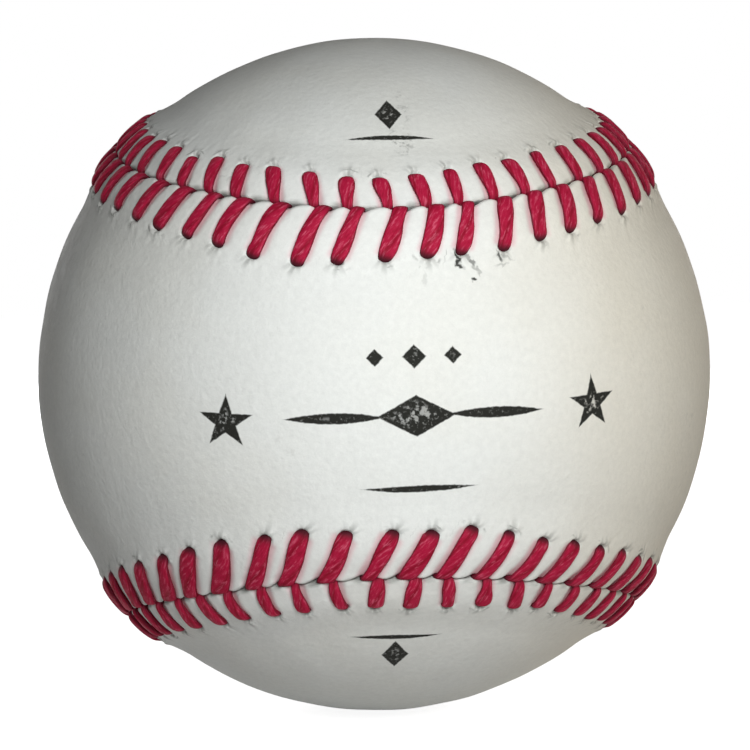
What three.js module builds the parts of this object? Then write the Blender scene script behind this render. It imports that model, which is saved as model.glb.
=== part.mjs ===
// A hand-sewn baseball in millimetres, +Z up, with its origin at the centre of the ball.
// The front cover's narrow neck faces -Y and runs along X. The rear cover's neck stands upright at +Y.
import * as THREE from "three";

// Pill: a cork ball in two moulded layers of rubber
const corkDiameter = 20.6;
const blackRubberWall = 3.8;
const gasketThickness = 1;
const redRubberWall = 2.2;

// Windings: four layers of yarn, each with a hole where its end is drawn in with a needle
const firstWindingDepth = 13.2;
const secondWindingDepth = 1.7;
const thirdWindingDepth = 2.2;
const finishingWindingDepth = 0.6;
const needleHoleRadius = 0.8;

// Fits: the space between nested layers, the glue line under the leather and the play of the thread
const layerGap = 0.2;
const glueGap = 0.45;
const threadPlay = 0.15;

// Leather: two figure-eight pieces that rise to a low ridge along the seam
const leatherThickness = 1.25;
const neckWidth = 34.7;
const ridgeRise = 0.75;
const ridgeCrown = 2;
const ridgeReach = 8;

// Seam line: how straight it leaves the neck and how full it runs round the lobes
const neckStraightness = 0.045;
const lobeFullness = 0.065;

// Stitching: flat waxed thread from a hole in the leather to the seam, leaning along it
const stitchCount = 108;
const threadWidth = 1.2;
const threadThickness = 0.5;
const frontHoleInset = 4.9;
const rearHoleInset = 4.1;
const frontLegLead = 2.6;
const rearLegLead = 1;

// Facets of the round layers and of the leather between its edge strips
const meridians = 18;
const parallels = 10;
const ribSpans = 6;

// Radii, from the middle outwards
const corkRadius = corkDiameter / 2;
const blackInner = corkRadius + layerGap;
const blackOuter = blackInner + blackRubberWall;
const redInner = blackOuter + layerGap;
const redOuter = redInner + redRubberWall;
const firstInner = redOuter + layerGap;
const firstOuter = firstInner + firstWindingDepth;
const secondInner = firstOuter + layerGap;
const secondOuter = secondInner + secondWindingDepth;
const thirdInner = secondOuter + layerGap;
const thirdOuter = thirdInner + thirdWindingDepth;
const finishingInner = thirdOuter + layerGap;
const finishingOuter = finishingInner + finishingWindingDepth;
const leatherInner = finishingOuter + glueGap;
const leatherOuter = leatherInner + leatherThickness;

// Stitch sizes that follow from the thread
const seamGap = threadThickness + 2 * threadPlay;
const holeLength = threadWidth + 2 * threadPlay;
const holeWidth = threadThickness + 2 * threadPlay;
const underRadius = finishingOuter + threadPlay + threadThickness / 2;

const front = 1;
const rear = -1;
const ball = new THREE.Group();

function addPiece(name, geometry, color, roughness) {
  const material = new THREE.MeshStandardMaterial({ color, roughness, metalness: 0 });
  const mesh = new THREE.Mesh(geometry, material);
  mesh.name = name;
  ball.add(mesh);
}

// Round layers

// Points of an arc about the centre, in the plane of the axis. Latitudes are in degrees.
function arc(radius, latitudes) {
  return latitudes.map((latitude) => {
    const angle = THREE.MathUtils.degToRad(latitude);
    return new THREE.Vector2(radius * Math.cos(angle), radius * Math.sin(angle));
  });
}

function latitudesBetween(low, high) {
  const step = 180 / parallels;
  const between = [];
  for (let latitude = -90; latitude <= 90; latitude += step) {
    if (latitude > low && latitude < high) between.push(latitude);
  }
  return [low, ...between, high];
}

// A profile turned about the Z axis.
function turned(profile) {
  return new THREE.LatheGeometry(profile, meridians).rotateX(Math.PI / 2);
}

function windingLayer(inner, outer) {
  const holeLatitude = (radius) => THREE.MathUtils.radToDeg(Math.acos(needleHoleRadius / radius));
  const outside = arc(outer, latitudesBetween(-90, holeLatitude(outer)));
  const inside = arc(inner, latitudesBetween(-90, holeLatitude(inner)));
  return turned([...outside, ...inside.reverse()]);
}

// The upper half of a rubber layer, with its rim this far above the middle of the ball.
function halfShell(inner, outer, rimHeight) {
  const rimLatitude = (radius) => THREE.MathUtils.radToDeg(Math.asin(rimHeight / radius));
  const outside = arc(outer, latitudesBetween(rimLatitude(outer), 90));
  const inside = arc(inner, latitudesBetween(rimLatitude(inner), 90));
  return turned([...inside.reverse(), ...outside]);
}

function addHalves(name, inner, outer, rimHeight, color, roughness) {
  const lower = halfShell(inner, outer, rimHeight).rotateX(Math.PI);
  addPiece(name + "_lower", lower, color, roughness);
  addPiece(name + "_upper", halfShell(inner, outer, rimHeight), color, roughness);
}

addPiece("cork_core", turned(arc(corkRadius, latitudesBetween(-90, 90))), 0xa9804f, 0.9);

addHalves("black_rubber_half", blackInner, blackOuter, gasketThickness / 2 + layerGap, 0x17181a, 0.6);

const gasketProfile = new THREE.Path();
gasketProfile.moveTo(blackInner, -gasketThickness / 2);
gasketProfile.lineTo(blackOuter, -gasketThickness / 2);
gasketProfile.lineTo(blackOuter, gasketThickness / 2);
gasketProfile.lineTo(blackInner, gasketThickness / 2);
gasketProfile.closePath();
addPiece("rubber_gasket", turned(gasketProfile.getPoints()), 0xa8322b, 0.6);

addHalves("red_rubber_half", redInner, redOuter, layerGap, 0xb23a31, 0.6);

addPiece("first_winding", windingLayer(firstInner, firstOuter), 0x7d7f82, 1);
addPiece("second_winding", windingLayer(secondInner, secondOuter), 0xe6e2d8, 1);
addPiece("third_winding", windingLayer(thirdInner, thirdOuter), 0x8b8d90, 1);
addPiece("finishing_winding", windingLayer(finishingInner, finishingOuter), 0xefece4, 0.95);

// Seam line

// The closed seam on the unit sphere. It starts at the middle of the upper front seam and runs to +X. A
// quarter of the loop later it has turned a quarter about Y and changed front for back.
class SeamCurve extends THREE.Curve {
  constructor() {
    super();
    this.arcLengthDivisions = 20 * stitchCount;
    const neckAngle = neckWidth / 2 / leatherOuter;
    const lift = neckStraightness * Math.cos(neckAngle) - lobeFullness * Math.sin(neckAngle);
    const share = (1 - Math.sin(neckAngle - Math.asin(lift))) / 2;
    this.first = 1 - share;
    this.third = share;
  }

  getPoint(t, target = new THREE.Vector3()) {
    const turn = 2 * Math.PI * t;
    const { first, third } = this;
    const fifth = neckStraightness;
    const across = first * Math.sin(turn) + third * Math.sin(3 * turn) + fifth * Math.sin(5 * turn);
    const up = first * Math.cos(turn) - third * Math.cos(3 * turn) + fifth * Math.cos(5 * turn);
    const toFront = 2 * Math.sqrt(first * third) * Math.cos(2 * turn) + lobeFullness * Math.cos(6 * turn);
    return target.set(across, -toFront, up).normalize();
  }
}

const seam = new SeamCurve();
const pitch = (seam.getLength() * leatherOuter) / stitchCount;

// A place on the ball: this many stitches along the seam, and this far from it towards the front cover.
function seamPlace(station, distance) {
  const share = THREE.MathUtils.euclideanModulo(station / stitchCount, 1);
  const onSeam = seam.getPointAt(share).normalize();
  const along = seam.getTangentAt(share);
  const toFrontCover = along.clone().cross(onSeam).normalize();
  const angle = distance / leatherOuter;
  const out = onSeam.clone().multiplyScalar(Math.cos(angle)).addScaledVector(toFrontCover, Math.sin(angle));
  const across = toFrontCover.multiplyScalar(Math.cos(angle)).addScaledVector(onSeam, -Math.sin(angle));
  return { out, along, across };
}

// Height of the seam ridge over the rest of the leather.
function ridgeAt(distance) {
  return ridgeRise * (1 - THREE.MathUtils.smoothstep(Math.abs(distance), ridgeCrown, ridgeReach));
}

function holeInset(side) {
  return side === front ? frontHoleInset : rearHoleInset;
}

function solidOf(points, triangles) {
  const geometry = new THREE.BufferGeometry().setFromPoints(points);
  geometry.setIndex(triangles);
  geometry.computeVertexNormals();
  return geometry;
}

// Leather covers

// One cover: a strip of cells with a stitch hole each along its edge, and ribs across it between the
// strips. The tip is the stitch at the end of one lobe.
function leatherCover(side, tipStation) {
  const sheet = [];
  const triangles = [];
  const rims = [];

  function addPoint(station, distance) {
    sheet.push({ out: seamPlace(station, side * distance).out, rise: ridgeAt(distance) });
    return sheet.length - 1;
  }

  function addTriangle(a, b, c) {
    if (a === b || b === c || c === a) return;
    triangles.push(...(side === front ? [a, c, b] : [a, b, c]));
  }

  function addQuad(a, b, c, d) {
    addTriangle(a, b, c);
    addTriangle(a, c, d);
  }

  function addRim(...loop) {
    rims.push(side === front ? loop.reverse() : loop);
  }

  const edge = [];
  const foot = [];
  for (let i = 0; i < stitchCount; i++) {
    edge.push(addPoint(i + 0.5, seamGap / 2));
    foot.push(addPoint(i + 0.5, ridgeReach));
  }

  const near = holeInset(side) - holeWidth / 2;
  const far = holeInset(side) + holeWidth / 2;
  const halfHole = holeLength / 2 / pitch;
  for (let i = 0; i < stitchCount; i++) {
    const before = (i + stitchCount - 1) % stitchCount;
    const cell = [edge[before], edge[i], foot[i], foot[before]];
    const hole = [
      addPoint(i - halfHole, near),
      addPoint(i + halfHole, near),
      addPoint(i + halfHole, far),
      addPoint(i - halfHole, far),
    ];
    for (let k = 0; k < 4; k++) {
      const next = (k + 1) % 4;
      addQuad(cell[k], cell[next], hole[next], hole[k]);
    }
    addRim(...hole);
  }
  addRim(...edge.slice().reverse());

  const ribCount = stitchCount / 2;
  const ribs = [];
  for (let j = 0; j < ribCount; j++) {
    const start = foot[(tipStation + j) % stitchCount];
    const end = foot[(tipStation - 1 - j + stitchCount) % stitchCount];
    const atTip = j === 0 || j === ribCount - 1;
    const rib = [start];
    for (let m = 1; m < ribSpans; m++) {
      if (atTip) {
        rib.push(m < ribSpans / 2 ? start : end);
        continue;
      }
      const turn = new THREE.Quaternion().setFromUnitVectors(sheet[start].out, sheet[end].out);
      const part = new THREE.Quaternion().slerp(turn, m / ribSpans);
      sheet.push({ out: sheet[start].out.clone().applyQuaternion(part), rise: 0 });
      rib.push(sheet.length - 1);
    }
    ribs.push([...rib, end]);
  }
  for (let j = 1; j < ribCount; j++) {
    for (let m = 0; m < ribSpans; m++) {
      addQuad(ribs[j - 1][m], ribs[j][m], ribs[j][m + 1], ribs[j - 1][m + 1]);
    }
  }

  // The flesh side repeats the grain side at the leather's thickness below it.
  const count = sheet.length;
  const grain = sheet.map(({ out, rise }) => out.clone().multiplyScalar(leatherOuter + rise));
  const flesh = sheet.map(({ out, rise }) => out.clone().multiplyScalar(leatherInner + rise));
  const faces = triangles.slice();
  for (let i = 0; i < triangles.length; i += 3) {
    faces.push(triangles[i] + count, triangles[i + 2] + count, triangles[i + 1] + count);
  }
  for (const loop of rims) {
    loop.forEach((a, k) => {
      const b = loop[(k + 1) % loop.length];
      faces.push(a, b, b + count, a, b + count, a + count);
    });
  }
  return solidOf([...grain, ...flesh], faces);
}

addPiece("front_cover", leatherCover(front, stitchCount / 4), 0xece8df, 0.55);
addPiece("rear_cover", leatherCover(rear, 0), 0xece8df, 0.55);

// Stitching

// A strand comes up through a hole, crosses the leather to the seam, goes down the seam, runs under the
// other cover and comes up through that cover's next hole. It has one ring of four corners at each bend.
function needleThread(firstSide) {
  const points = [];
  const faces = [];

  function addRing(station, distance, radius, side, acrossSign, outSign) {
    const { out, along, across } = seamPlace(station, distance);
    const middle = out.clone().multiplyScalar(radius);
    const width = along.clone().multiplyScalar(threadWidth / 2);
    const depth = across.clone().multiplyScalar((acrossSign * threadThickness) / 2);
    depth.addScaledVector(out, (side * outSign * threadThickness) / 2);
    points.push(
      middle.clone().add(width).add(depth),
      middle.clone().sub(width).add(depth),
      middle.clone().sub(width).sub(depth),
      middle.clone().add(width).sub(depth),
    );
  }

  for (let i = 0; i < stitchCount; i++) {
    const side = i % 2 === 0 ? firstSide : -firstSide;
    const inset = holeInset(side);
    const lead = (side === front ? frontLegLead : rearLegLead) / pitch;
    const overLeather = leatherOuter + threadPlay + threadThickness / 2;
    addRing(i, side * inset, underRadius, side, 1, -1);
    addRing(i, side * inset, overLeather + ridgeAt(inset), side, 1, 1);
    addRing(i + lead, 0, overLeather + ridgeAt(seamGap / 2), side, -1, 1);
    addRing(i + lead, 0, underRadius, side, -1, 1);
  }

  for (let a = 0; a < points.length; a += 4) {
    const b = (a + 4) % points.length;
    for (let k = 0; k < 4; k++) {
      const next = (k + 1) % 4;
      faces.push(a + k, b + next, a + next, a + k, b + k, b + next);
    }
  }
  return solidOf(points, faces);
}

addPiece("needle_thread_one", needleThread(front), 0xb01634, 0.5);
addPiece("needle_thread_two", needleThread(rear), 0xb01634, 0.5);

export default ball;
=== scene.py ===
import math
from functools import partial

import bpy
import numpy as np
from mathutils import Matrix, Vector


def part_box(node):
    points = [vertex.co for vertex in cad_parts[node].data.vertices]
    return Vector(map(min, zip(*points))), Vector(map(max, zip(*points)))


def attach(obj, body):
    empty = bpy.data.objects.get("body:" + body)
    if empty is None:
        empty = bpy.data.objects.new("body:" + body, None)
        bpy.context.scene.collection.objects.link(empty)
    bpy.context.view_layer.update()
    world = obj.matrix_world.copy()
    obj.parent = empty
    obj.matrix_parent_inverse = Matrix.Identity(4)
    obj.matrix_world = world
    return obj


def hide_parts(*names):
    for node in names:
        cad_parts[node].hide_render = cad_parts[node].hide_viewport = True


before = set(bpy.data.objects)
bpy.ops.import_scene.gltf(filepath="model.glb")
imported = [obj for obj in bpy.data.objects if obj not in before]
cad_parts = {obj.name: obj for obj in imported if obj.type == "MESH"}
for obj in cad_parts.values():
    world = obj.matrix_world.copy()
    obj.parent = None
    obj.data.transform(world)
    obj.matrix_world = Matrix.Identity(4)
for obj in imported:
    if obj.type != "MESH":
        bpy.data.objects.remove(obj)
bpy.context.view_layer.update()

mm = 0.001  # lengths below are in millimetres until a mesh is made
draw = np.random.default_rng(108)  # the unevenness of the hand sewing
print("frame loaded:", len(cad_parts), "CAD nodes")


# the ball and its seam line

ballLine = {
    "glueLine": 0.45,
    "leatherThickness": 1.25,
    "neckWidth": 34.7,  # over the leather, from seam to seam
    "neckStraightness": 0.045,
    "lobeFullness": 0.065,
    "stitchCount": 108,
    "stepsPerStitch": 400,  # in the table of the seam line
    # stitch numbers and how far the seam lies over towards the front cover there
    "drift": [(0, 0.0), (44, 0.0), (49, -0.3), (55, -0.42), (59, -0.3), (64, 0.0)],
    "driftFades": (0.5, 5.0),  # away from the seam
}

woundRadius = -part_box("finishing_winding")[0].z / mm
leatherRadius = woundRadius + ballLine["glueLine"] + ballLine["leatherThickness"]
stitchCount = ballLine["stitchCount"]


def seamPoint(turn):
    neckAngle = ballLine["neckWidth"] / 2 / leatherRadius
    fifth = ballLine["neckStraightness"]
    sixth = ballLine["lobeFullness"]
    lift = fifth * math.cos(neckAngle) - sixth * math.sin(neckAngle)
    third = (1 - math.sin(neckAngle - math.asin(lift))) / 2
    first = 1 - third
    across = first * np.sin(turn) + third * np.sin(3 * turn) + fifth * np.sin(5 * turn)
    up = first * np.cos(turn) - third * np.cos(3 * turn) + fifth * np.cos(5 * turn)
    toFront = 2 * math.sqrt(first * third) * np.cos(2 * turn) + sixth * np.cos(6 * turn)
    return unit(np.stack([across, -toFront, up], -1))


def unit(vectors):
    return vectors / np.linalg.norm(vectors, axis=-1, keepdims=True)


def smooth(low, high, value):
    share = np.clip((value - low) / (high - low), 0, 1)
    return share * share * (3 - 2 * share)


def fade(low, high, value):
    return 1 - smooth(low, high, value)


def bell(value, power=2):
    return np.exp(-(value**power))


seamTurns = np.linspace(0, 2 * math.pi, ballLine["stepsPerStitch"] * stitchCount + 1)
seamPoints = seamPoint(seamTurns)
seamRun = np.concatenate([[0], np.cumsum(np.linalg.norm(np.diff(seamPoints, axis=0), axis=1))])
seamStations = seamRun / seamRun[-1] * stitchCount
seamTangents = np.gradient(seamPoints, seamRun, axis=0)
pitch = seamRun[-1] * leatherRadius / stitchCount


def alongTable(station, table):
    wrapped = np.mod(station, stitchCount)
    return np.stack([np.interp(wrapped, seamStations, table[:, k]) for k in range(3)], -1)


# out of the ball, along the seam and over towards the front cover
def seamAxes(station):
    out = unit(alongTable(station, seamPoints))
    along = unit(alongTable(station, seamTangents))
    return out, along, np.cross(along, out)


# the lower seam was drawn a little over to one side
def seamDrift(station):
    numbers, lengths = zip(*ballLine["drift"])
    return np.interp(station, numbers, lengths, period=stitchCount)


def ballPlace(station, distance, height):
    out, along, across = seamAxes(station)
    distance = np.asarray(distance)
    drawn = distance + seamDrift(station) * fade(*ballLine["driftFades"], np.abs(distance))
    angle = drawn[..., None] / leatherRadius
    direction = out * np.cos(angle) + across * np.sin(angle)
    return direction * (leatherRadius + np.asarray(height))[..., None]


# millimetres along the seam from one station to another
def runFrom(start, station):
    half = stitchCount / 2
    return (np.mod(station - start + half, stitchCount) - half) * pitch


# the double row of stitches, uneven as sewn by hand; a list gives stitch numbers and millimetres

stitchRow = {
    # from the seam to the holes
    "frontInset": [
        (0, 4.75), (2, 4.4), (3, 4.65), (5, 4.1), (7, 4.2), (27, 4.4), (46, 3.75), (48, 3.8),
        (50, 4.0), (52, 4.5), (54, 4.05), (56, 4.7), (59, 4.4), (62, 4.15), (81, 4.4), (100, 4.0),
        (103, 4.25), (104, 4.55), (105, 5.2), (106, 5.4), (107, 4.95),
    ],
    "rearInset": [
        (0, 3.0), (1, 3.35), (3, 3.7), (5, 3.95), (7, 3.8), (27, 3.8), (46, 3.8), (48, 3.3),
        (49, 3.0), (50, 3.5), (51, 3.2), (53, 3.7), (54, 3.4), (57, 3.65), (60, 3.9), (81, 3.8),
        (101, 3.85), (102, 3.0), (103, 3.8), (104, 3.25), (105, 3.65), (106, 3.3), (107, 3.0),
    ],
    # front holes ahead of their even places
    "frontDrift": [
        (0, -0.3), (1, -0.4), (2, -1.3), (3, -0.95), (5, -1.45), (6, -0.9), (8, -0.9), (27, 0.0),
        (46, 1.5), (48, 1.3), (49, 1.5), (51, 1.35), (54, 0.2), (55, 0.55), (57, 0.1), (58, 0.5),
        (61, 0.6), (81, 0.0), (101, 0.5), (103, 0.35), (105, -0.05), (106, 0.15), (107, -0.35),
    ],
    # rear holes ahead of the front ones
    "rearShift": [
        (0, -0.6), (1, -0.15), (2, 0.45), (4, 0.25), (5, 0.85), (8, 1.5), (27, 0.9), (46, 0.7),
        (49, 0.4), (50, 0.05), (52, 0.6), (54, 1.65), (55, 1.25), (57, 2.0), (59, 1.4), (60, 2.05),
        (62, 2.2), (81, 0.8), (100, -0.7), (106, -0.85), (107, 0.1),
    ],
    # how far a front leg leans along the seam
    "frontLean": [
        (0, 1.35), (4, 1.3), (8, 1.55), (27, 1.6), (46, 1.4), (50, 1.5), (54, 2.1), (57, 2.8),
        (60, 2.15), (81, 1.7), (100, 0.9), (104, 1.35),
    ],
    # front legs wider than the usual thread, as a factor
    "frontWidth": [
        (0, 1.02), (3, 1.1), (6, 1.2), (27, 1.1), (46, 1.08), (54, 1.18), (60, 1.22), (81, 1.1),
        (100, 1.0), (104, 1.12), (106, 1.02),
    ],
    "tipStagger": 0.92,  # front legs reach the seam this far ahead of the rear ones
    "frontHoleSide": -0.1,  # a hole beside the middle of its leg
    "rearHoleSide": 0.0,
    "holeSideFades": (-0.03, 0.2),  # share of the leg
    "bow": 1.3,  # front legs turn along the seam as they near it
    "unevenHole": 0.08,
    "unevenTip": 0.1,
    "unevenBend": 0.12,
}


def uneven(spread):
    return np.clip(draw.normal(0, spread, stitchCount), -2 * spread, 2 * spread)


def roundBall(name):
    numbers, lengths = zip(*stitchRow[name])
    return np.interp(np.arange(stitchCount), numbers, lengths, period=stitchCount)


def sewStitches():
    hole, tip, bend = stitchRow["unevenHole"], stitchRow["unevenTip"], stitchRow["unevenBend"]
    frontHole = np.arange(stitchCount) + (roundBall("frontDrift") + uneven(hole)) / pitch
    frontTip = frontHole + (roundBall("frontLean") + uneven(tip)) / pitch
    return {
        "front": {
            "side": 1,
            "hole": frontHole,
            "inset": roundBall("frontInset") + uneven(hole),
            "holeSide": stitchRow["frontHoleSide"] + uneven(hole),
            "tip": frontTip,
            "bend": uneven(bend),
            "bow": stitchRow["bow"],
            "width": roundBall("frontWidth"),
        },
        "rear": {
            "side": -1,
            "hole": frontHole + (roundBall("rearShift") + uneven(hole)) / pitch,
            "inset": roundBall("rearInset") + uneven(hole),
            "holeSide": stitchRow["rearHoleSide"] + uneven(hole),
            "tip": frontTip - (stitchRow["tipStagger"] + uneven(tip)) / pitch,
            "bend": uneven(bend),
            "bow": 1.0,
            "width": np.ones(stitchCount),
        },
    }


# how far along the seam a leg strays from a straight line, by its share of the way from hole to seam
def legStray(row, i, share):
    inside = np.clip(share, 0, 1)
    bowed = (row["tip"][i] - row["hole"][i]) * pitch * (inside ** row["bow"] - inside)
    bent = 4 * row["bend"][i] * inside * (1 - inside)  # the whole bend at mid leg
    return bowed + bent + row["holeSide"][i] * fade(*stitchRow["holeSideFades"], share)


# the stitches round each point, one after another
def nearStitches(station):
    for shift in range(-3, 3):
        yield np.mod(np.floor(station).astype(int) + shift, stitchCount)


stitches = sewStitches()
opposite = {"front": "rear", "rear": "front"}
print("seam laid out: pitch %.2f mm" % pitch)


# leather covers

cover = {
    "ridgeRise": 0.75,
    "ridgeCrown": 2.0,
    "ridgeReach": 8.0,
    "stripReach": 9.6,  # the sewn strip along the edge, made finer than the rest
    "fineRows": (0.13, 6.6, 40),  # from the rolled edge, to this distance, and how many
    "coarseRows": (6.9, 9),
    "columnsPerStitch": 20,
    "ribSpans": 40,
    "capRibs": 5,  # half-stitch ribs left out at each lobe's tip, where a cap closes the leather
    "fleshRows": (0.35, 2.5, 5.0),
    "fleshColumnsPerStitch": 4,
    "fleshRidge": 0.8,  # share of the ridge on the grain side
    "edgeRadius": 0.34,
    "edgeRows": 8,
    "seamHalfGap": 0.06,
    "legGap": 0.06,  # added at each leg
    "legGapReach": 0.6,
    "tipGape": 0.07,  # added just past the front legs
    "tipGapeRise": (0.3, 0.7),
    "tipGapeFall": (0.9, 1.9),
    "seamMeander": 0.14,
    "meanderLag": 0.1,  # of a stitch
    "meanderFades": (0.3, 3.5),
    "pillow": 0.06,
    "pillowFades": (0.6, 1.9),  # times the distance of the holes from the seam
    "grooveDepth": 0.14,
    "grooveHalfWidth": 0.85,
    "grooveStart": (-0.06, 0.06),  # share of the leg
    "grooveEnd": (1.0, 1.12),
    "stainFringe": 0.05,
    "holeDepth": 0.5,
    "holeMiddle": 0.2,  # past the end of the leg
    "holeHalfSize": (0.55, 0.4),  # across and along the leg
    "lipRise": 0.13,
    "lipRing": (2.0, 0.8),  # radius and width in hole sizes
    "lipHalfLength": 0.6,
    "lipLeast": 0.4,  # and luck adds up to 1
    "lipStart": (-0.6, 0.6),  # past the hole
    "puckerStart": (0.3, 0.9),  # creases and pleats begin past the hole
    "creaseDepth": 0.14,
    "creaseWidth": 0.2,
    "creaseReach": 1.1,
    "creaseSpread": 0.05,  # wider for each millimetre from the hole
    "unevenCreaseBend": 0.28,
    "unevenCreaseDepth": 0.3,
    "usualCrease": 0.75,  # share of the depth
    "creaseLimits": (0.2, 1.4),
    "pleatDepth": 0.07,
    "pleatWidth": 0.85,
    "pleatFan": 0.3,
    "pleatSpread": 1.1,
    "pleatReach": 1.0,
    "edgePull": 0.16,  # a leg presses its own edge down
    "edgePullHalfWidth": 0.9,
    "edgeLift": 0.08,  # and lifts the other one
    "edgeLiftWidth": 1.0,
    "edgePullFades": (0.1, 1.6),
    "lumpHeight": 0.012,
    "lumpLengths": (5, 15),
    "lumpWaves": 14,
    "lumpsStart": (0, 2),  # away from the seam
    "marksBeside": (1.1, 1.5),  # where the needle marks fade out
    "marksBeyond": (2.4, 3.0),
    # dirt and painted shade darken the leather along the seam edge, the painted shade reaching further past
    # the front legs
    "soilAndShadeReach": (0.2, 0.5),
    "shadePastTip": 0.12,  # further past the front legs
    "soilAndShadeShare": 0.4,
}

farOff = 9.0  # from any needle hole
lumpWavelength = draw.uniform(*cover["lumpLengths"], cover["lumpWaves"])
lumpDirection = unit(draw.normal(size=(cover["lumpWaves"], 3)))
lumpPhase = draw.uniform(0, 2 * math.pi, cover["lumpWaves"])
creaseBend = {name: uneven(cover["unevenCreaseBend"]) for name in stitches}
creaseShare = {name: cover["usualCrease"] + uneven(cover["unevenCreaseDepth"]) for name in stitches}
creaseShare = {name: np.clip(share, *cover["creaseLimits"]) for name, share in creaseShare.items()}
needleLuck = {name: draw.uniform(0, 1, stitchCount) for name in stitches}


def lumps(points):
    total = np.zeros(points.shape[:-1])
    for length, direction, phase in zip(lumpWavelength, lumpDirection, lumpPhase):
        total += np.sin(points @ direction * 2 * math.pi / length + phase)
    return total * cover["lumpHeight"]


def ridge(distance):
    return cover["ridgeRise"] * fade(cover["ridgeCrown"], cover["ridgeReach"], distance)


# share of the way from hole to seam, distance beside that line and the line's length
def alongLeg(row, i, station, distance):
    along = runFrom(row["hole"][i], station)
    inset = row["inset"][i]
    lean = (row["tip"][i] - row["hole"][i]) * pitch
    length = np.hypot(lean, inset)
    share = (lean * along + inset * (inset - distance)) / length**2
    beside = (along * inset - lean * (inset - distance)) / length
    return share, beside, length


# the hole, its lip, a crease and a fan of pleats, by the place beside and beyond the hole
def needleDent(name, i, beside, beyond):
    luck = needleLuck[name][i]
    halfAcross, halfAlong = cover["holeHalfSize"]
    away = np.hypot(beside / halfAcross, (beyond - cover["holeMiddle"]) / halfAlong)
    dent = cover["holeDepth"] * bell(away, 4)
    ringRadius, ringWidth = cover["lipRing"]
    lip = bell((away - ringRadius) / ringWidth) * bell(beside / cover["lipHalfLength"])
    dent -= cover["lipRise"] * (cover["lipLeast"] + luck) * lip * smooth(*cover["lipStart"], beyond)
    starts = smooth(*cover["puckerStart"], beyond)
    creaseWidth = cover["creaseWidth"] + cover["creaseSpread"] * np.abs(beyond)
    crease = bell((beside - creaseBend[name][i] * beyond) / creaseWidth) * starts
    crease = crease * np.exp(-np.abs(beyond) / cover["creaseReach"])
    dent += cover["creaseDepth"] * creaseShare[name][i] * crease
    fan = beside / (1 + cover["pleatFan"] * np.maximum(beyond, 0))
    pleat = np.cos(2 * math.pi * (fan / cover["pleatWidth"] + luck))
    pleat = pleat * bell(fan / cover["pleatSpread"]) * starts
    return dent + cover["pleatDepth"] * pleat * np.exp(-np.abs(beyond) / cover["pleatReach"])


# height of the sewn leather, where the thread stains it, and each point's place by its nearest needle hole
def sewnRelief(name, station, distance):
    row = stitches[name]
    other = stitches[opposite[name]]
    groove = np.zeros(station.shape)
    dent = np.zeros(station.shape)
    stain = np.zeros(station.shape)
    needle = np.full(station.shape + (3,), farOff)
    nearEdge = fade(*cover["edgePullFades"], distance)
    for i in nearStitches(station):
        share, beside, length = alongLeg(row, i, station, distance)
        beyond = -share * length  # out past the hole
        besideHole = beside - row["holeSide"][i]
        nearer = np.abs(beside) < np.abs(needle[..., 0])
        here = np.stack([besideHole, beyond, needleLuck[name][i]], -1)
        needle = np.where(nearer[..., None], here, needle)
        dent += needleDent(name, i, besideHole, beyond)
        overLeg = smooth(*cover["grooveStart"], share) * fade(*cover["grooveEnd"], share)
        besideLeg = beside - legStray(row, i, share) * row["inset"][i] / length
        halfWidth = cover["grooveHalfWidth"] * row["width"][i]
        groove = np.maximum(groove, bell(besideLeg / halfWidth, 4) * overLeg)
        stain = np.maximum(stain, bell(besideLeg / (cover["stainFringe"] + halfWidth), 6) * overLeg)
        pulled = bell(runFrom(row["tip"][i], station) / cover["edgePullHalfWidth"], 4)
        lifted = bell(runFrom(other["tip"][i], station) / cover["edgeLiftWidth"])
        dent += (cover["edgePull"] * pulled - cover["edgeLift"] * lifted) * nearEdge
    sewn = fade(*cover["pillowFades"], distance / np.mean(row["inset"]))
    pressDepth = cover["grooveDepth"] + cover["pillow"]
    height = ridge(distance) + cover["pillow"] * sewn - pressDepth * groove
    return height - dent, stain, needle


# the seam wanders a little, because each leg draws the far edge over itself
def seamMeander(station):
    tips = stitches["front"]["tip"]
    tips = np.concatenate([tips - stitchCount, tips, tips + stitchCount])
    count = np.interp(np.mod(station, stitchCount), tips, np.arange(-stitchCount, 2 * stitchCount))
    return cover["seamMeander"] * np.cos(2 * math.pi * (count - cover["meanderLag"]))


# half the gap between the covers, which opens at each leg and gapes just past the front ones
def seamGap(station):
    gap = np.full(station.shape, cover["seamHalfGap"])
    for i in nearStitches(station):
        for name in stitches:
            gap += cover["legGap"] * bell(runFrom(stitches[name]["tip"][i], station) / cover["legGapReach"])
    return gap + cover["tipGape"] * pastTip(station)


# just past each front leg's tip, where the covers gape and painted shade darkens the seam
def pastTip(station):
    gape = np.zeros(station.shape)
    for i in nearStitches(station):
        past = runFrom(stitches["front"]["tip"][i], station)
        gape = np.maximum(gape, smooth(*cover["tipGapeRise"], past) * fade(*cover["tipGapeFall"], past))
    return gape


# distance from the edge and depth under the grain, up the cut edge, round its roll and over the strip
def edgeProfile():
    radius = cover["edgeRadius"]
    thickness = ballLine["leatherThickness"]
    cutDepth = 0.75 * thickness  # below it the cut edge slants back a little
    cut = [(0.06, thickness - 0.05), (0.02, cutDepth), (0, (radius + cutDepth) / 2)]
    turn = np.radians(np.linspace(0, 90, cover["edgeRows"]))
    rolled = [(radius * (1 - math.cos(a)), radius * (1 - math.sin(a))) for a in turn]
    fineStart, fineEnd, fineCount = cover["fineRows"]
    coarseStart, coarseCount = cover["coarseRows"]
    fine = np.linspace(radius + fineStart, fineEnd, fineCount)
    coarse = np.linspace(coarseStart, cover["stripReach"], coarseCount)
    flat = [(d, 0.0) for d in np.concatenate([fine, coarse])]
    return np.array(cut + rolled + flat)


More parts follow.
